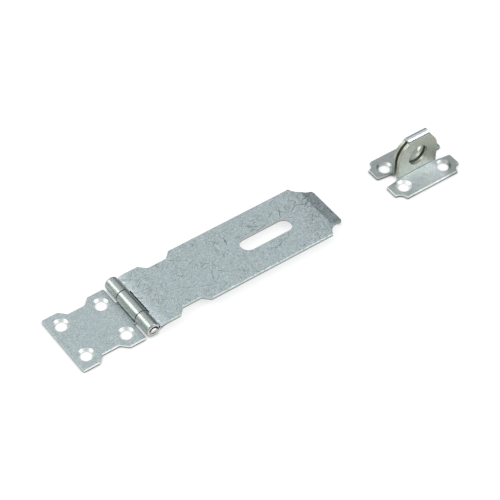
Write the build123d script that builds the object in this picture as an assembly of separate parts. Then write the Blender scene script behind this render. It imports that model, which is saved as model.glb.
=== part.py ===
from build123d import *
import math
import os

# A hinged hasp with its staple, in millimetres. The leaf and the staple lie with their backs on z = 0.
# The origin is the centre of the leaf's screw holes, X runs along the strap and Y along the hinge pin.

# Sheet and screws, shared by all folded pieces
sheet = 1.3
screw_hole_d = 4.9
countersink_d = 6.7
countersink_angle = 90.0
roll_width = 0.25
roll_depth = 0.15

# Hasp: leaf and strap
hasp_width = 30.0
corner_r = 0.7
notch_depth = 2.9
notch_ramp = 2.9

leaf_length = 28.0
leaf_hole_from_end = 5.0
leaf_hole_from_side = 6.15
leaf_notch_floor = 7.8

strap_length = 85.1
strap_notch_floor = 8.6
strap_notch_from_pin = 19.6
slot_length = 24.2
slot_width = 7.0
slot_from_pin = 63.3

# Hinge
pin_d = 3.2
pin_clearance = 0.1
pin_taper_width = 0.3
pin_taper_length = 0.3
nip = 0.25
mouth_width = 0.4
barrel_end_r = 0.7
middle_knuckle = 12.6
knuckle_gap = 0.4
leaf_barrel_gap = 0.5
strap_barrel_gap = 0.7
leaf_curl = 296.0
strap_curl = 288.0

# The strap leaves its barrel on a slope, so that it lies this far above the leaf when closed
closed_gap = 0.7
strap_slope = 42.0

# Finger lip at the strap's free end
lip_width = 19.8
lip_reach = 8.6
lip_angle = 20.0
lip_bend_r = 2.0
lip_bend_from_end = 2.2
lip_corner_r = 1.0
lip_side = 0.3

# Staple
staple_x = 154.1
staple_y = -2.1
staple_length = 33.0
staple_width = 24.6
staple_hole_from_end = 6.25
staple_hole_from_side = 5.9
staple_bite_r = 3.4
staple_tab_slope = 0.8
staple_tab_r = 0.4
loop_width = 19.7
loop_top_width = 10.3
loop_height = 19.8
loop_shoulder_height = 9.5
loop_gap = 1.3
loop_foot_r = 0.3
shackle_hole_d = 9.5
shackle_hole_height = 9.4

# Sizes that follow
leaf_pitch_x = leaf_length - 2 * leaf_hole_from_end
leaf_pitch_y = hasp_width - 2 * leaf_hole_from_side
staple_pitch_x = staple_length - 2 * staple_hole_from_end
staple_pitch_y = staple_width - 2 * staple_hole_from_side
bore_r = pin_d / 2 + pin_clearance
barrel_r = bore_r + sheet
curl_mid_r = bore_r + sheet / 2
pin_x = leaf_length / 2 + leaf_barrel_gap + barrel_r
pin_z = barrel_r
pin_recess = nip + pin_clearance
cut_out_width = middle_knuckle + 2 * knuckle_gap
strap_raise = 2 * (barrel_r - sheet) - closed_gap
slope = math.radians(strap_slope)
level_mid_r = (strap_raise + sheet / 2 - pin_z + curl_mid_r * math.cos(slope)) / (1 - math.cos(slope))
level_x = pin_x + (curl_mid_r + level_mid_r) * math.sin(slope)
curl_start = 270 + strap_slope - strap_curl
loop_thickness = 2 * sheet + loop_gap
clear = sheet

lip_slope = math.radians(lip_angle)
lip_mid_r = lip_bend_r + sheet / 2
lip_bend_run = (lip_mid_r + sheet / 2) * math.sin(lip_slope)
lip_length = (lip_reach - lip_bend_from_end - lip_bend_run) / math.cos(lip_slope)


def folded_section(start, heading, steps):
    """Section of a folded sheet as a face: steps along its middle line are (length, 0) or (radius, turn)."""
    sides = {1: [], -1: []}
    point = Vector(*start)
    for size, turn in steps:
        ahead = Vector(math.cos(math.radians(heading)), math.sin(math.radians(heading)))
        left = Vector(-ahead.Y, ahead.X)
        if turn == 0:
            after = point + ahead * size
            for side, edges in sides.items():
                shift = left * (side * sheet / 2)
                edges.append(Line(point + shift, after + shift))
        else:
            hand = math.copysign(1, turn)
            centre = point + left * (hand * size)
            first = heading - hand * 90
            for side, edges in sides.items():
                edges.append(CenterArc(centre, size - hand * side * sheet / 2, first, turn))
            heading += turn
            last = math.radians(first + turn)
            after = centre + Vector(math.cos(last), math.sin(last)) * size
        point = after
    ends = [Line(sides[1][0] @ 0, sides[-1][0] @ 0), Line(sides[1][-1] @ 1, sides[-1][-1] @ 1)]
    return make_face([*sides[1], *sides[-1], *ends])


def mirrored_outline(half, radii):
    """Face inside an outline that is symmetric about the X axis, from its points on the +Y side."""
    other = [(x, -y) for x, y in reversed(half)]
    return make_face(FilletPolyline(*half, *other, radius=[*radii, *reversed(radii)], close=True))


def notched_side(start, centre, floor, end):
    """Points along a +Y side edge with one shallow notch in it, and their corner radii."""
    edge = hasp_width / 2
    half = floor / 2
    points = [(start, edge),
              (centre - half - notch_ramp, edge), (centre - half, edge - notch_depth),
              (centre + half, edge - notch_depth), (centre + half + notch_ramp, edge),
              (end, edge)]
    return points, [corner_r] * len(points)


def screw_holes(centre_x, centre_y, pitch_x, pitch_y):
    """Four countersunk holes on a rectangle, through one sheet that lies on z = 0."""
    sink = CounterSinkHole(screw_hole_d / 2, countersink_d / 2, 2 * sheet, countersink_angle)
    return [Pos(centre_x + x, centre_y + y, sheet) * sink
            for x in (-pitch_x / 2, pitch_x / 2) for y in (-pitch_y / 2, pitch_y / 2)]


def blank(outline, top):
    """Prism under an outline, up to a sheet's top face, where blanking has rolled the edge over."""
    block = Pos(0, 0, -clear) * extrude(outline, top + clear)
    upper = block.faces().sort_by(Axis.Z)[-1]
    return chamfer(upper.edges(), roll_width, roll_depth, reference=upper)


def rolled_sheet(steps, start, heading):
    """A sheet folded to a section that runs the hasp's full width."""
    section = Plane.XZ * folded_section(start, heading, steps)
    return extrude(section, hasp_width / 2, both=True)


def knuckle_space(near_x, far_x, width):
    """Space for knuckles between two places along X, as wide as the hasp or a neck."""
    height = 2 * barrel_r + 2 * clear
    return Pos((near_x + far_x) / 2, 0, height / 2 - clear) * Box(far_x - near_x, width, height)


def make_fixed_leaf():
    """Leaf that is screwed down, with the barrel's middle knuckle rolled from its neck."""
    free_end = -leaf_length / 2
    hinge_edge = leaf_length / 2
    plate = blank(mirrored_outline(*notched_side(free_end, 0, leaf_notch_floor, hinge_edge)), sheet)
    neck = knuckle_space(hinge_edge - roll_width, pin_x + barrel_r + clear, middle_knuckle)
    steps = [(pin_x - free_end, 0), (curl_mid_r, leaf_curl)]
    leaf = rolled_sheet(steps, (free_end, sheet / 2), 0) & (plate + neck)
    return leaf - screw_holes(0, 0, leaf_pitch_x, leaf_pitch_y)


def strap_outline():
    """Strap seen from above, without its knuckles: notched sides and the scalloped end."""
    end = pin_x + strap_length
    tip = end + lip_reach
    tangent_x = tip - lip_corner_r - lip_side
    inset = (hasp_width - lip_width) / 2
    scallop_r = ((tangent_x - end) ** 2 + inset ** 2) / (2 * inset)
    side, radii = notched_side(level_x, pin_x + strap_notch_from_pin, strap_notch_floor, end)
    lip = [(tangent_x, lip_width / 2), (tip, lip_width / 2)]
    radii[0] = 0
    radii[-1] = 0
    outline = mirrored_outline(side + lip, [*radii, 0, lip_corner_r])
    for hand in (1, -1):
        outline -= Pos(tangent_x, hand * (lip_width / 2 + scallop_r)) * Circle(scallop_r)
    return outline


def barrel_end_cuts():
    """What rounding takes off the outer knuckles' ends, from the curl's free edge round to its slope."""
    end = hasp_width / 2
    shoulder = end - barrel_end_r
    rim = barrel_r - barrel_end_r
    outer = barrel_r + clear
    beyond = end + clear
    square = Polyline((rim, end), (rim, beyond), (outer, beyond), (outer, shoulder), (barrel_r, shoulder))
    rounding = CenterArc((rim, shoulder), barrel_end_r, 0, 90)
    ring = revolve(make_face([square, rounding]), Axis((0, 0, 0), (0, -1, 0)), strap_curl)
    ring = Rot(0, -curl_start, 0) * ring
    return [Pos(pin_x, 0, pin_z) * cut for cut in (ring, mirror(ring, Plane.XZ))]


def make_hasp_strap():
    """Hinged strap: outer knuckles nipped over the pin, a rise to the level sheet, slot and finger lip."""
    flat = pin_x + strap_length + lip_bend_from_end - level_x
    steps = [(curl_mid_r, strap_curl), (level_mid_r, -strap_slope), (flat, 0),
             (lip_mid_r, -lip_angle), (lip_length, 0)]
    first = math.radians(curl_start)
    start = (pin_x + curl_mid_r * math.cos(first), pin_z + curl_mid_r * math.sin(first))
    knuckles = knuckle_space(pin_x - barrel_r - clear, level_x + roll_width, hasp_width)
    cut_out = knuckle_space(pin_x - barrel_r - clear, pin_x + barrel_r + strap_barrel_gap, cut_out_width)
    sheet_run = rolled_sheet(steps, start, curl_start + 90)
    strap = sheet_run & (blank(strap_outline(), strap_raise + sheet) + knuckles)
    slot = extrude(SlotOverall(slot_length, slot_width), 2 * barrel_r, both=True)
    strap -= [cut_out, Pos(pin_x + slot_from_pin, 0, 0) * slot]
    mouth = Rot(90, 0, 0) * Cylinder(bore_r + mouth_width, nip, arc_size=180)
    nipped = Rot(90, 0, 0) * Cylinder(curl_mid_r, nip, arc_size=180, rotation=(0, 0, 180))
    ends = [Pos(pin_x, y, pin_z) for y in ((nip - hasp_width) / 2, (hasp_width - nip) / 2)]
    strap -= [end * mouth for end in ends]
    strap += [end * nipped for end in ends]
    return strap - barrel_end_cuts()


def make_hinge_pin():
    """Plain pin with tapered ends, held between the nips of the outer knuckles."""
    end = hasp_width / 2 - pin_recess
    rim = pin_d / 2 - pin_taper_width
    half = [(0, end), (rim, end), (pin_d / 2, end - pin_taper_length)]
    profile = Polyline(*half, *[(x, -y) for x, y in reversed(half)], close=True)
    return Pos(pin_x, 0, pin_z) * revolve(make_face(profile), Axis.Y)


def flange_outline():
    """Staple seen from above: both flanges with bitten corners, and their tabs beside the loop's foot."""
    end = staple_length / 2
    edge = staple_width / 2
    foot = loop_thickness / 2 + loop_foot_r
    tab = foot + staple_tab_slope
    half = [(-end, tab), (-end, edge), (end, edge), (end, tab), (loop_width / 2, foot)]
    radii = [staple_tab_r, 0, 0, staple_tab_r, 0]
    outline = mirrored_outline([(-loop_width / 2, foot)] + half, [0] + radii)
    for x in (-end, end):
        for y in (-edge, edge):
            outline -= Pos(x, y) * Circle(staple_bite_r)
    return outline


def loop_outline():
    """Loop seen from the front: upright sides that curve in from the shoulders to the straight fold."""
    foot = loop_width / 2
    top = loop_top_width / 2
    fold = loop_height - loop_thickness / 2
    rise = fold - loop_shoulder_height
    side_r = (rise ** 2 + (foot - top) ** 2) / (2 * (foot - top))
    side = [Line((foot, 0), (foot, loop_shoulder_height)),
            RadiusArc((foot, loop_shoulder_height), (top, fold), -side_r),
            Line((top, fold), (top, loop_height))]
    other = [mirror(edge, Plane.YZ) for edge in side]
    ends = [Line((-foot, 0), (foot, 0)), Line((-top, loop_height), (top, loop_height))]
    return make_face([*side, *other, *ends])


def make_staple():
    """Staple folded from one sheet: flange, loop, fold, loop and flange."""
    foot_mid_r = loop_foot_r + sheet / 2
    fold_mid_r = (loop_gap + sheet) / 2
    flat = staple_width / 2 - fold_mid_r - foot_mid_r
    upright = loop_height - loop_thickness / 2 - sheet / 2 - foot_mid_r
    side = [(flat, 0), (foot_mid_r, 90), (upright, 0)]
    steps = [*side, (fold_mid_r, -180), *reversed(side)]
    section = Plane.YZ * folded_section((-staple_width / 2, sheet / 2), 0, steps)
    sheet_run = extrude(section, staple_length / 2, both=True)
    flanges = blank(flange_outline(), sheet)
    loop = extrude(Plane.XZ * loop_outline(), loop_thickness / 2 + loop_foot_r + sheet, both=True)
    staple = sheet_run & (flanges + loop)
    shackle = Rot(90, 0, 0) * Cylinder(shackle_hole_d / 2, 2 * loop_thickness)
    staple -= Pos(0, 0, shackle_hole_height) * shackle
    staple -= screw_holes(0, 0, staple_pitch_x, staple_pitch_y)
    return Pos(staple_x, staple_y, 0) * staple


pieces = {
    "fixed_leaf": make_fixed_leaf(),
    "hasp_strap": make_hasp_strap(),
    "hinge_pin": make_hinge_pin(),
    "staple": make_staple(),
}
os.makedirs("parts", exist_ok=True)
for name, piece in pieces.items():
    export_step(piece, f"parts/{name}.step")
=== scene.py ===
import math
from dataclasses import dataclass

import bpy
from mathutils import Matrix, Vector


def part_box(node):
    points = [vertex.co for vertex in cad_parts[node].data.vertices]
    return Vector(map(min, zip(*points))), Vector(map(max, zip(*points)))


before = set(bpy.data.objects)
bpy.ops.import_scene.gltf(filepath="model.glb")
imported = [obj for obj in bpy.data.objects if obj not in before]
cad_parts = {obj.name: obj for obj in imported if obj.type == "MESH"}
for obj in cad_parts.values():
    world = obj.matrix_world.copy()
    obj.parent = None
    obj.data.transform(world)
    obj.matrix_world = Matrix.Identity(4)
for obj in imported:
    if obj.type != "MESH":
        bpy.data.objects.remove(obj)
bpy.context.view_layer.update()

# A hinged hasp and its staple. No piece is added here: the CAD nodes get their finish, a floor and light.
# Lengths are in metres. A finish reads each point's place and facing on its own piece, so it stays put in
# every pose. A span is a pair of values between which something fades in or out.

# The photograph's camera, with its angles in degrees
EYE = Vector((-0.2390, -0.4255, 0.5750))
AIM = Vector((0.0729, -0.0002, 0.0))
FIELD_OF_VIEW = 14.394
ROLL = 0.741
CLIP_START = 0.01
CLIP_END = 20.0

# Floor, and how near a piece has to be to darken it
WHITE = (1, 1, 1, 1)
FLOOR_SIZE = 6.0
FLOOR_DROP = 0.00002
FLOOR_COLOUR = (0.38, 0.38, 0.38, 1)
FLOOR_LIFT = 0.67
CONTACT_REACH = 0.0012
CONTACT_SAMPLES = 8

# Studio surround: its colours, and the spans of a direction's X, of its Z and of its cosine to the camera
HORIZON = (0.08, 0.10, 0.13, 1)
HORIZON_LEFT = (0.48, 0.51, 0.47, 1)
OVERHEAD = (1.00, 1.03, 1.04, 1)
CAMERA_SIDE = (0.58, 0.59, 0.59, 1)
TO_LEFT = (0.2, -0.4)
TO_OVERHEAD = (0.22, 0.72)
TO_CAMERA = (0.80, 0.97)

# Lamps: place, sides and power
SOFTBOX_AIM = Vector((0.07, 0, 0))
SOFTBOXES = {
    "softbox_left": ((-0.62, 0.75, 1.10), (0.5, 0.7), 4.0),
    "softbox_side": ((-1.10, 0.30, 0.78), (0.5, 0.5), 2.6),
    "softbox_front": ((0.82, -0.83, 1.0), (0.9, 0.8), 6.5),
}

# Colours of the metal, and of painted light and shade on it
ZINC = (0.435, 0.495, 0.505, 1)
ZINC_GREEN = (0.44, 0.50, 0.475, 1)
ZINC_LILAC = (0.455, 0.485, 0.53, 1)
BARREL_ZINC = (0.45, 0.49, 0.47, 1)
STAPLE_ZINC = (0.47, 0.495, 0.475, 1)
LOOP_OLIVE = (0.37, 0.39, 0.33, 1)
NIPPED = (0.58, 0.58, 0.57, 1)
# Bright pin metal with a painted highlight
PIN_BRIGHT_AND_GLEAM = (0.90, 0.90, 0.88, 1)
# Painted light in the screw holes: a painted highlight on the far walls, and a painted grey on the side walls
SINK_FAR_PAINTED_LIGHT = (0.84, 0.86, 0.85, 1)
SINK_SIDE_PAINTED_LIGHT = (0.55, 0.60, 0.61, 1)
# Painted shade: near-black for the slit, the barrel's mouths and round the pin's ends
RECESS_PAINTED_SHADE = (0.03, 0.03, 0.028, 1)

# What a span fades to
ON = (0.0, 1.0)
OFF = (1.0, 0.0)


@dataclass
class Clouds:
    """A noise pattern: the size of its blotches, its make-up and the span of noise over which it fades in."""
    size: float
    detail: float = 2.0
    roughness: float = 0.5
    distortion: float = 0.0
    span: tuple = ON


@dataclass
class Strokes:
    """Short scratches, each in its own cell of a random pattern, in a share of the cells."""
    spacing: float
    length: float
    width: float
    share: float
    strength: float = 1.0


@dataclass
class Finish:
    """How one sheet's plating looks: its gloss, its fine wear, and its cut edge with a torn lower share. The
    edge's bright upper colour is partly burnish and partly a painted reflection of the floor.
    """
    roughness: float
    grain: float
    scratches: float
    burnish_and_gleam: tuple
    dull_edge: tuple
    torn_share: float


# Each finish's bright edge colour is partly burnish and partly a painted reflection of the floor
LEAF = Finish(0.42, 0.55, 0.30, (0.97, 0.98, 0.95, 1), (0.12, 0.12, 0.10, 1), 0.38)
STRAP = Finish(0.47, 0.52, 0.95, (0.52, 0.55, 0.53, 1), (0.30, 0.31, 0.28, 1), 0.5)
STAPLE = Finish(0.44, 0.30, 0.20, (0.66, 0.68, 0.62, 1), (0.20, 0.20, 0.165, 1), 0.5)

# Plating: its clouds, its grain of threads and grit, its gloss and the depth of its wear
GREEN_CLOUDS = Clouds(0.0030, detail=3.0, span=(0.45, 0.75))
LILAC_CLOUDS = Clouds(0.0022, detail=3.0, distortion=0.5, span=(0.5, 0.75))
SHADE_CLOUDS = Clouds(0.0024, detail=4.0, roughness=0.65, span=(0.3, 0.7))
CLOUD_SHADE = (0.95, 1.05)
THREADS = Clouds(0.00095, roughness=0.6, distortion=1.2)
NOISE_MIDDLE = 0.5
THREAD_SPAN = (0.0, 0.08)
THREAD_WEIGHT = 0.55
GRIT = Clouds(0.00055, roughness=0.6, span=(0.35, 0.65))
GRIT_WEIGHT = 0.45
GRAIN_MEAN = 0.5
GRAIN_DEPTH = 0.4
GLOSS = Clouds(0.0017, span=(0.3, 0.7))
GLOSS_SPREAD = 0.05
RELIEF_STRENGTH = 0.3
RELIEF_DEPTH = 0.00005

# Scratches: dark ones from coarse to fine, pale ones, their bow over one length, where they fade along that
# length, and where they crowd together
DARK_STROKES = (
    Strokes(0.0058, 0.0062, 0.00018, 0.45),
    Strokes(0.0030, 0.0040, 0.00014, 0.7, 0.8),
    Strokes(0.0016, 0.0023, 0.00014, 0.7, 0.65),
)
PALE_STROKES = Strokes(0.0015, 0.0016, 0.00016, 0.7, 0.45)
STROKE_BOW = 1.6
STROKE_FULL = 0.25
STROKE_END = 0.5
STROKE_STRENGTHS = (0.35, 1.0)
WORN_PATCHES = Clouds(0.0075, span=(0.35, 0.65))
PATCH_WEAR = (0.45, 1.35)

# Cut edges: spans of a facing's Z and X, and levels in sheet thicknesses
SHEET = 0.0013
UPRIGHT = (0.1, 0.3)
LOWEST_EDGE = -1.2
RAGGED = Clouds(0.0008)
RAGGED_DEPTH = 0.3
BURNISH_GLEAM_FADE = 0.25
CROPPED = (0.6, 0.9)
CROPPED_ZINC = (0.0, 0.7)

# Screw holes: from their pattern's centre to one of them, and how their walls face, for a painted highlight
# on the far walls
LEAF_HOLE = (0.0090, 0.00885)
STAPLE_HOLE = (0.01025, 0.0064)
SINK_R = 0.0034
SLOPING = 0.8
FRONT = (-0.6, -0.8)
FAR_WALL = (0.2, 0.6)

# Barrel: spans of the distance from the pin, and how its finish differs from the sheet's, with painted shade
# beside it and in its slit
BARREL_R = 0.0030
BARREL_SPAN = (1.02 * BARREL_R, 1.1 * BARREL_R)
BARREL_CONTRAST = 0.5
BARREL_RELIEF = 0.3
BARREL_GLOSS = 0.72
BESIDE_BARREL = (1.1 * BARREL_R, 2.3 * BARREL_R)
BESIDE_PAINTED_SHADE = (0.84, 1.0)
SLIT_START = (1.02 * BARREL_R, 1.04 * BARREL_R)
SLIT_END = (1.5 * BARREL_R, 1.6 * BARREL_R)
SLIT_FACING = (-0.9, -0.8)

# Barrel's ends: how they face, the mouth and the pin's face in it
END_FACING = (0.75, 0.95)
MOUTH_R = 0.00212
MOUTH_DEPTH = 0.0004
PIN_FACE_R = 0.0012
WIRE = Clouds(0.0004, span=(0.3, 0.7))
WIRE_ROUGHNESS = (0.22, 0.34)

# Finger lip, and the rolled edge at the leaf's free end, which gets a painted shade
LIP_WEAR = (0.092, 0.110)
LIP_CONTRAST = 1.7
LIP_SHADE = 0.85
FREE_END = (-0.012, -0.011)
ROLLED_X = (-0.5, -0.4)
ROLLED_Z = (0.75, 0.85)
ROLLED_PAINTED_SHADE = (0.4, 0.0)

# Staple: heights on its loop and fold, and its flanges' paler and darker places, from the loop's middle. The
# far flange and the crease at the loop's foot get painted shade, the fold's top a painted highlight
STAPLE_TINT = 0.6
LOOP_START = (0.0016, 0.0026)
FOLD_DROP = 0.0018
FOLD_PAINTED_HIGHLIGHT = 0.15
FOLD_GLOSS = 0.6
FLANGE_TOP = 1.001 * SHEET
PALE_START = (0.0, 0.0005)
PALE_REACH = (0.0022, 0.0115)
PALE_FADE = (1.0, 0.25)
PALE_SIDES = (0.006, 0.011)
PALE_SIDE_FADE = (0.9, 0.0)
FAR_SIDE = (-0.001, 0.0)
FAR_PAINTED_SHADE = (0.22, 0.0)
RIGHT_SHADE = (0.0, 0.28)
CREASE_START = (SHEET, 1.05 * SHEET)
CREASE_END = (0.0016, 0.0019)
CREASE_PAINTED_SHADE = (0.45, 0.0)


class Nodes:
    """A cleared node tree, with short calls for adding linked nodes."""

    def __init__(self, tree):
        self.tree = tree
        self.tree.nodes.clear()

    def add(self, kind, settings=None, **inputs):
        """Adds a node; an input is named or, as i0, numbered, and takes a value or another node's output."""
        node = self.tree.nodes.new(kind)
        for key, value in (settings or {}).items():
            setattr(node, key, value)
        for key, value in inputs.items():
            numbered = key[0] == "i" and key[1:].isdigit()
            socket = node.inputs[int(key[1:]) if numbered else key.replace("_", " ")]
            if isinstance(value, bpy.types.NodeSocket):
                self.tree.links.new(value, socket)
            else:
                socket.default_value = value
        return node

    def math(self, operation, a, b=0.0):
        return self.add("ShaderNodeMath", {"operation": operation}, i0=a, i1=b).outputs[0]

    def plus(self, a, b):
        return self.math("ADD", a, b)

    def minus(self, a, b):
        return self.math("SUBTRACT", a, b)

    def times(self, *values):
        """The product of some values, as for masks that must all hold."""
        product = values[0]
        for value in values[1:]:
            product = self.math("MULTIPLY", product, value)
        return product

    def below(self, value, limit):
        return self.math("LESS_THAN", value, limit)

    def above(self, value, limit):
        return self.math("GREATER_THAN", value, limit)

    def absolute(self, value):
        return self.math("ABSOLUTE", value)

    def distance(self, value, centre):
        return self.absolute(self.minus(value, centre))

    def length(self, x, y):
        """Length of a flat vector."""
        vector = self.add("ShaderNodeCombineXYZ", None, X=x, Y=y).outputs[0]
        return self.add("ShaderNodeVectorMath", {"operation": "LENGTH"}, i0=vector).outputs["Value"]

    def ramp(self, value, span, to=ON):
        """A value faded smoothly from one span to another, and held at its ends."""
        node = self.add("ShaderNodeMapRange", {"interpolation_type": "SMOOTHSTEP"}, Value=value,
                        From_Min=span[0], From_Max=span[1], To_Min=to[0], To_Max=to[1])
        return node.outputs[0]

    def where(self, mask, value):
        """1 where a mask is off, and a value where it is on."""
        return self.ramp(mask, ON, (1.0, value))

    def split(self, vector):
        return self.add("ShaderNodeSeparateXYZ", None, Vector=vector).outputs

    def mix(self, factor, a, b):
        """Colour mix; the node's inputs 6 and 7 are its colours."""
        node = self.add("ShaderNodeMix", {"data_type": "RGBA"}, i0=factor, i6=a, i7=b)
        return node.outputs[2]

    def shaded(self, colour, shade):
        """A colour times a grey value."""
        grey = self.add("ShaderNodeCombineColor", None, Red=shade, Green=shade, Blue=shade).outputs[0]
        settings = {"data_type": "RGBA", "blend_type": "MULTIPLY"}
        return self.add("ShaderNodeMix", settings, i0=1.0, i6=colour, i7=grey).outputs[2]


class Surface(Nodes):
    """A new material's nodes, with the place and the facing of a point on the piece itself."""

    def __init__(self, name):
        self.material = bpy.data.materials.new(name)
        self.material.use_nodes = True
        super().__init__(self.material.node_tree)
        own = self.add("ShaderNodeTexCoord").outputs
        self.spot = self.split(own["Object"])
        self.facing = self.split(own["Normal"])
        along_sheet = self.plus(self.spot["Y"], self.spot["Z"])
        self.flat = self.add("ShaderNodeCombineXYZ", None, X=self.spot["X"], Y=along_sheet).outputs[0]

    def from_axis(self, x, z):
        """Distance from an axis along Y."""
        return self.length(self.minus(self.spot["X"], x), self.minus(self.spot["Z"], z))

    def noise(self, pattern):
        """A pattern's plain noise, over the sheet."""
        node = self.add("ShaderNodeTexNoise", None, Vector=self.flat, Scale=1.0 / pattern.size,
                        Detail=pattern.detail, Roughness=pattern.roughness, Distortion=pattern.distortion)
        return node.outputs["Fac"]

    def clouds(self, pattern, to=ON):
        """A pattern faded over its own span."""
        return self.ramp(self.noise(pattern), pattern.span, to)

    def finish(self, colour, roughness, normal):
        """Links up plain metal with a colour, a roughness and a bump."""
        metal = self.add("ShaderNodeBsdfPrincipled", None, Base_Color=colour, Metallic=1.0,
                         Roughness=roughness, Normal=normal)
        self.add("ShaderNodeOutputMaterial", None, Surface=metal.outputs[0])
        return self.material


def strokes(surface, kind):
    """A short, slightly bowed scratch in a share of the cells of a random pattern, each at its own angle."""
    flat = surface.flat
    cell = surface.add("ShaderNodeTexVoronoi", {"voronoi_dimensions": "2D"}, Vector=flat,
                       Scale=1.0 / kind.spacing).outputs
    chance = surface.add("ShaderNodeSeparateColor", None, Color=cell["Color"]).outputs
    offset = surface.add("ShaderNodeVectorMath", {"operation": "SUBTRACT"}, i0=flat, i1=cell["Position"])
    turned = surface.add("ShaderNodeVectorRotate", {"rotation_type": "Z_AXIS"}, Vector=offset.outputs[0],
                         Angle=surface.times(chance["Red"], 2 * math.pi))
    along, across, _ = surface.split(turned.outputs[0])
    bow = surface.times(surface.minus(chance["Green"], 0.5), STROKE_BOW / kind.length)
    across = surface.plus(across, surface.times(bow, along, along))
    thin = surface.ramp(surface.absolute(across), (0.0, kind.width), OFF)
    short = surface.ramp(surface.absolute(along), (STROKE_FULL * kind.length, STROKE_END * kind.length), OFF)
    picked = surface.below(chance["Blue"], kind.share)
    faint = surface.ramp(chance["Green"], ON, STROKE_STRENGTHS)
    return surface.times(thin, short, picked, faint, kind.strength)


def plating(surface):
    """Zinc with faint greenish and lilac clouds."""
    greenish = surface.mix(surface.clouds(GREEN_CLOUDS), ZINC, ZINC_GREEN)
    return surface.mix(surface.clouds(LILAC_CLOUDS), greenish, ZINC_LILAC)


def wear(surface, finish):
    """Shade of the plating's fibrous grain and scratches, and their depth."""
    thread = surface.ramp(surface.distance(surface.noise(THREADS), NOISE_MIDDLE), THREAD_SPAN, OFF)
    grit = surface.clouds(GRIT)
    grain = surface.plus(surface.times(thread, THREAD_WEIGHT), surface.times(grit, GRIT_WEIGHT))
    marks = strokes(surface, DARK_STROKES[0])
    for finer in DARK_STROKES[1:]:
        marks = surface.math("MAXIMUM", marks, strokes(surface, finer))
    marks = surface.times(marks, surface.clouds(WORN_PATCHES, PATCH_WEAR))
    pale = strokes(surface, PALE_STROKES)
    dark = surface.plus(surface.times(grain, finish.grain), surface.times(marks, finish.scratches))
    dark = surface.minus(dark, surface.times(pale, finish.scratches))
    shade = surface.minus(1.0 + GRAIN_MEAN * finish.grain, dark)
    shade = surface.times(surface.clouds(SHADE_CLOUDS, CLOUD_SHADE), shade)
    return shade, surface.plus(surface.times(grain, GRAIN_DEPTH), marks)


def cut_edge(surface, finish, sheet_foot):
    """Where a flat sheet's cut edge is, and its colour: burnished above with a painted reflection of the
    floor, torn below, grey where cropped.
    """
    level = surface.math("DIVIDE", surface.minus(surface.spot["Z"], sheet_foot), SHEET)
    upright = surface.ramp(surface.absolute(surface.facing["Z"]), UPRIGHT, OFF)
    mask = surface.times(upright, surface.below(level, 1.0), surface.above(level, LOWEST_EDGE))
    ragged = surface.plus(level, surface.times(surface.noise(RAGGED), RAGGED_DEPTH))
    # Upper share of the cut edge: burnish with a painted reflection of the floor
    burnish_gleam = surface.ramp(ragged, (finish.torn_share, finish.torn_share + BURNISH_GLEAM_FADE))
    colour = surface.mix(burnish_gleam, finish.dull_edge, finish.burnish_and_gleam)
    cropped = surface.ramp(surface.absolute(surface.facing["X"]), CROPPED, CROPPED_ZINC)
    return mask, surface.mix(cropped, colour, ZINC)


def satin(surface, finish):
    """A roughness that varies a little."""
    return surface.clouds(GLOSS, (finish.roughness - GLOSS_SPREAD, finish.roughness + GLOSS_SPREAD))


def in_screw_holes(surface, centre, corner):
    """Where the walls of four screw holes are, round a pattern's centre."""
    off_x = surface.minus(surface.distance(surface.spot["X"], centre.x), corner[0])
    off_y = surface.minus(surface.distance(surface.spot["Y"], centre.y), corner[1])
    near_axis = surface.below(surface.length(off_x, off_y), SINK_R)
    sloping = surface.below(surface.facing["Z"], SLOPING)
    return surface.times(sloping, near_axis, surface.below(surface.spot["Z"], SHEET))


def screw_hole_painted_light(surface):
    """Painted highlight on the far walls, which face the front, between walls painted as grey as the sheet.
    """
    toward_front = surface.plus(surface.times(surface.facing["X"], FRONT[0]),
                                surface.times(surface.facing["Y"], FRONT[1]))
    return surface.mix(surface.ramp(toward_front, FAR_WALL), SINK_SIDE_PAINTED_LIGHT, SINK_FAR_PAINTED_LIGHT)


def relief(surface, depth):
    """Bump of the fine wear."""
    bump = surface.add("ShaderNodeBump", {"invert": True}, Strength=RELIEF_STRENGTH, Distance=RELIEF_DEPTH,
                       Height=depth)
    return bump.outputs[0]


def barrel_ends(surface, colour, barrel, from_pin, pin, half_width):
    """Light ends of the barrel, with painted shade in the mouth and the pin's face painted bright, as bright
    metal with a painted highlight, in their upper halves.

    The solid's nips cover the pin's own ends, so the mouth and the face are colour alone.
    """
    sideways = surface.ramp(surface.absolute(surface.facing["Y"]), END_FACING)
    colour = surface.mix(surface.times(sideways, barrel), colour, NIPPED)
    at_end = surface.above(surface.absolute(surface.spot["Y"]), half_width - MOUTH_DEPTH)
    upper = surface.times(at_end, surface.above(surface.spot["Z"], pin.z))
    # Painted shade in the mouth, and the pin's face painted as bright metal with a painted highlight
    for radius, paint in ((MOUTH_R, RECESS_PAINTED_SHADE), (PIN_FACE_R, PIN_BRIGHT_AND_GLEAM)):
        colour = surface.mix(surface.times(upper, surface.below(from_pin, radius)), colour, paint)
    return colour


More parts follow.
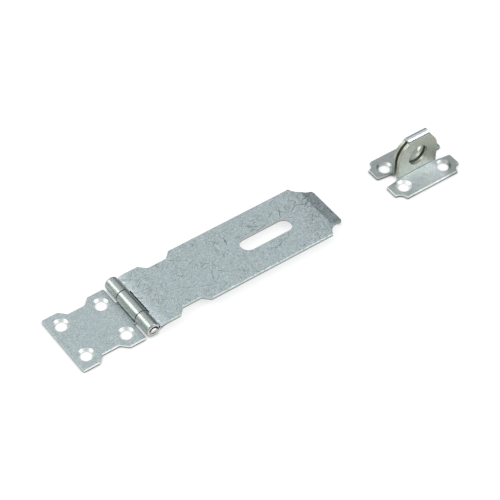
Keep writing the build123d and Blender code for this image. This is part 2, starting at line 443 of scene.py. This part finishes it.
def hinged_sheet(name, finish, sheet_foot, pin, half_width):
    """Sheet with rolled knuckles: a smoother barrel, a worn lip, a painted highlight in its screw holes, and
    painted shade beside the barrel, on the leaf's rolled free end and in the slit.
    """
    surface = Surface(name)
    shade, depth = wear(surface, finish)
    from_pin = surface.from_axis(pin.x, pin.z)
    barrel = surface.ramp(from_pin, BARREL_SPAN, OFF)
    at_lip = surface.ramp(surface.spot["X"], LIP_WEAR)
    contrast = surface.times(surface.where(at_lip, LIP_CONTRAST), surface.where(barrel, BARREL_CONTRAST))
    shade = surface.plus(1.0, surface.times(contrast, surface.minus(shade, 1.0)))
    # Painted shade beside the barrel, and a darker worn lip
    shade = surface.times(shade, surface.where(at_lip, LIP_SHADE),
                          surface.ramp(from_pin, BESIDE_BARREL, BESIDE_PAINTED_SHADE))
    colour = surface.shaded(surface.mix(barrel, plating(surface), BARREL_ZINC), shade)
    mask, edge = cut_edge(surface, finish, sheet_foot)
    colour = surface.mix(surface.times(mask, surface.minus(1.0, barrel)), colour, edge)
    # Painted shade on the rolled edge at the leaf's free end
    rolled_painted_shade = surface.times(surface.ramp(surface.facing["X"], ROLLED_X, OFF),
                           surface.ramp(surface.facing["Z"], ROLLED_Z),
                           surface.ramp(surface.spot["X"], FREE_END, ROLLED_PAINTED_SHADE))
    colour = surface.shaded(colour, surface.minus(1.0, rolled_painted_shade))
    # Painted highlight on the screw holes' far walls
    holes = in_screw_holes(surface, Vector(), LEAF_HOLE)
    colour = surface.mix(holes, colour, screw_hole_painted_light(surface))
    # Painted shade in the slit beside the barrel
    in_slit = surface.times(surface.ramp(from_pin, SLIT_START), surface.ramp(from_pin, SLIT_END, OFF),
                            surface.ramp(surface.facing["X"], SLIT_FACING, OFF))
    colour = surface.mix(in_slit, colour, RECESS_PAINTED_SHADE)
    colour = barrel_ends(surface, colour, barrel, from_pin, pin, half_width)
    roughness = surface.times(satin(surface, finish), surface.where(barrel, BARREL_GLOSS))
    depth = surface.times(depth, surface.where(barrel, BARREL_RELIEF))
    return surface.finish(colour, roughness, relief(surface, depth))


def staple_sheet(name, finish, centre, top):
    """Sheet with an olive loop and a fold with a painted highlight, a flange lighter along the loop's near
    foot, and painted shade on the far flange and in the crease at the loop's foot.
    """
    surface = Surface(name)
    shade, depth = wear(surface, finish)
    height = surface.spot["Z"]
    fold_span = (top - FOLD_DROP, top - 0.5 * FOLD_DROP)
    raised = surface.times(surface.ramp(height, LOOP_START), surface.ramp(height, fold_span, OFF))
    colour = surface.mix(STAPLE_TINT, plating(surface), STAPLE_ZINC)
    colour = surface.shaded(surface.mix(raised, colour, LOOP_OLIVE), shade)
    mask, edge = cut_edge(surface, finish, 0.0)
    colour = surface.mix(mask, colour, edge)
    # Painted highlight on the screw holes' far walls
    holes = in_screw_holes(surface, centre, STAPLE_HOLE)
    colour = surface.mix(holes, colour, screw_hole_painted_light(surface))

    low = surface.below(height, FLANGE_TOP)
    nearer = surface.minus(centre.y, surface.spot["Y"])
    off_centre = surface.distance(surface.spot["X"], centre.x)
    # Lighter along the loop's near foot
    paler = surface.times(low, surface.ramp(nearer, PALE_REACH, PALE_FADE), surface.ramp(nearer, PALE_START),
                           surface.ramp(off_centre, PALE_SIDES, PALE_SIDE_FADE))
    colour = surface.mix(paler, colour, surface.shaded(ZINC_LILAC, shade))
    # Painted shade on the far flange
    far_painted_shade = surface.times(low, surface.ramp(nearer, FAR_SIDE, FAR_PAINTED_SHADE))
    right_side = tuple(centre.x + side for side in PALE_SIDES)
    right_end = surface.times(low, surface.ramp(surface.spot["X"], right_side, RIGHT_SHADE))
    # Painted shade in the crease at the loop's foot
    crease_painted_shade = surface.times(surface.ramp(height, CREASE_START), surface.ramp(height, CREASE_END, CREASE_PAINTED_SHADE))
    tone_and_painted_light = surface.plus(paler, 1.0)
    for darker in (far_painted_shade, right_end, crease_painted_shade):
        tone_and_painted_light = surface.minus(tone_and_painted_light, darker)

    # Painted highlight on the fold's top, which is also glossier
    fold = surface.ramp(height, fold_span)
    tone_and_painted_light = surface.plus(tone_and_painted_light, surface.times(fold, FOLD_PAINTED_HIGHLIGHT))
    roughness = surface.times(satin(surface, finish), surface.where(fold, FOLD_GLOSS))
    return surface.finish(surface.shaded(colour, tone_and_painted_light), roughness, relief(surface, depth))


def pin_wire(name, pin):
    """Bright drawn wire, with painted shade round its end faces, which are bright metal with a painted
    highlight.
    """
    surface = Surface(name)
    drawn = surface.noise(WIRE)
    face = surface.below(surface.from_axis(pin.x, pin.z), PIN_FACE_R)
    # Painted shade round the pin's end faces; the faces are bright metal with a painted highlight
    colour = surface.mix(face, RECESS_PAINTED_SHADE, PIN_BRIGHT_AND_GLEAM)
    return surface.finish(colour, surface.ramp(drawn, WIRE.span, WIRE_ROUGHNESS), relief(surface, drawn))


def floor_material():
    """Pale floor that the camera and the metal see as white, with the object's shadow and contact kept."""
    material = bpy.data.materials.new("floor_white")
    material.use_nodes = True
    nodes = Nodes(material.node_tree)
    path = nodes.add("ShaderNodeLightPath").outputs
    seen = nodes.math("MAXIMUM", path["Is Camera Ray"], path["Is Glossy Ray"])
    seen = nodes.math("MAXIMUM", seen, path["Is Transmission Ray"])
    diffuse = nodes.add("ShaderNodeBsdfDiffuse", None, Color=FLOOR_COLOUR).outputs[0]
    contact = nodes.add("ShaderNodeAmbientOcclusion", {"samples": CONTACT_SAMPLES}, Distance=CONTACT_REACH)
    strength = nodes.times(seen, contact.outputs["AO"], FLOOR_LIFT)
    lift = nodes.add("ShaderNodeEmission", None, Color=WHITE, Strength=strength).outputs[0]
    shader = nodes.add("ShaderNodeAddShader", None, i0=diffuse, i1=lift)
    nodes.add("ShaderNodeOutputMaterial", None, Surface=shader.outputs[0])
    return material


def make_floor():
    """One large square, just under the pieces."""
    half = FLOOR_SIZE / 2
    mesh = bpy.data.meshes.new("floor")
    corners = [(x, y, -FLOOR_DROP) for x, y in ((-half, -half), (half, -half), (half, half), (-half, half))]
    mesh.from_pydata(corners, [], [(0, 1, 2, 3)])
    floor = bpy.data.objects.new("floor", mesh)
    mesh.materials.append(floor_material())
    bpy.context.scene.collection.objects.link(floor)


def make_world():
    """Studio surround: light overhead, dim at the horizon, less so on the left, grey behind the camera."""
    world = bpy.data.worlds.new("studio")
    bpy.context.scene.world = world
    world.use_nodes = True
    nodes = Nodes(world.node_tree)
    way = nodes.add("ShaderNodeTexCoord").outputs["Generated"]
    part = nodes.split(way)
    horizon = nodes.mix(nodes.ramp(part["X"], TO_LEFT), HORIZON, HORIZON_LEFT)
    colour = nodes.mix(nodes.ramp(part["Z"], TO_OVERHEAD), horizon, OVERHEAD)
    back = (EYE - AIM).normalized()
    cosine = nodes.add("ShaderNodeVectorMath", {"operation": "DOT_PRODUCT"}, i0=way, i1=back).outputs["Value"]
    colour = nodes.mix(nodes.ramp(cosine, TO_CAMERA), colour, CAMERA_SIDE)
    surround = nodes.add("ShaderNodeBackground", None, Color=colour).outputs[0]
    white = nodes.add("ShaderNodeBackground", None, Color=WHITE).outputs[0]
    seen = nodes.add("ShaderNodeLightPath").outputs["Is Camera Ray"]
    sky = nodes.add("ShaderNodeMixShader", None, i0=seen, i1=surround, i2=white).outputs[0]
    nodes.add("ShaderNodeOutputWorld", None, Surface=sky)


def softbox(name, place, sides, power):
    """A rectangular lamp that faces the object."""
    lamp = bpy.data.lights.new(name, "AREA")
    lamp.shape = "RECTANGLE"
    lamp.size, lamp.size_y = sides
    lamp.energy = power
    tone_and_painted_light = bpy.data.objects.new(name, lamp)
    tone_and_painted_light.location = place
    tone_and_painted_light.rotation_euler = (SOFTBOX_AIM - Vector(place)).to_track_quat("-Z", "Y").to_euler()
    bpy.context.scene.collection.objects.link(tone_and_painted_light)


def make_camera():
    """The photograph's camera, upright but for a slight roll."""
    data = bpy.data.cameras.new("camera")
    data.sensor_fit = "HORIZONTAL"
    data.angle = math.radians(FIELD_OF_VIEW)
    data.clip_start = CLIP_START
    data.clip_end = CLIP_END
    back = (EYE - AIM).normalized()
    right = Vector((0, 0, 1)).cross(back).normalized()
    up = back.cross(right)
    roll = math.radians(ROLL)
    axes = (right * math.cos(roll) + up * math.sin(roll), up * math.cos(roll) - right * math.sin(roll), back)
    camera = bpy.data.objects.new("camera", data)
    camera.matrix_world = Matrix.Translation(EYE) @ Matrix(axes).transposed().to_4x4()
    bpy.context.scene.collection.objects.link(camera)
    bpy.context.scene.camera = camera


def middle(node):
    """Centre of a CAD node's box."""
    low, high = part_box(node)
    return (Vector(low) + Vector(high)) / 2


def dress(node, material):
    """Gives a CAD node its finish in place of all of its material slots."""
    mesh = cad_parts[node].data
    mesh.materials.clear()
    mesh.materials.append(material)


make_camera()
make_floor()
make_world()
for box_name, settings in SOFTBOXES.items():
    softbox(box_name, *settings)

pin = middle("hinge_pin")
staple_centre = middle("staple")
half_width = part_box("hasp_strap")[1][1]
staple_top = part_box("staple")[1][2]

# Underside of the strap's level sheet, beyond its knuckles and its rise
strap_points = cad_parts["hasp_strap"].data.vertices
strap_foot = max(point.co.z for point in strap_points if point.co.x > 2 * pin.x) - SHEET

dress("fixed_leaf", hinged_sheet("zinc_leaf", LEAF, 0.0, pin, half_width))
dress("hasp_strap", hinged_sheet("zinc_strap", STRAP, strap_foot, pin, half_width))
dress("staple", staple_sheet("zinc_staple", STAPLE, staple_centre, staple_top))
dress("hinge_pin", pin_wire("pin_wire", pin))

bpy.context.scene.view_settings.view_transform = "Standard"
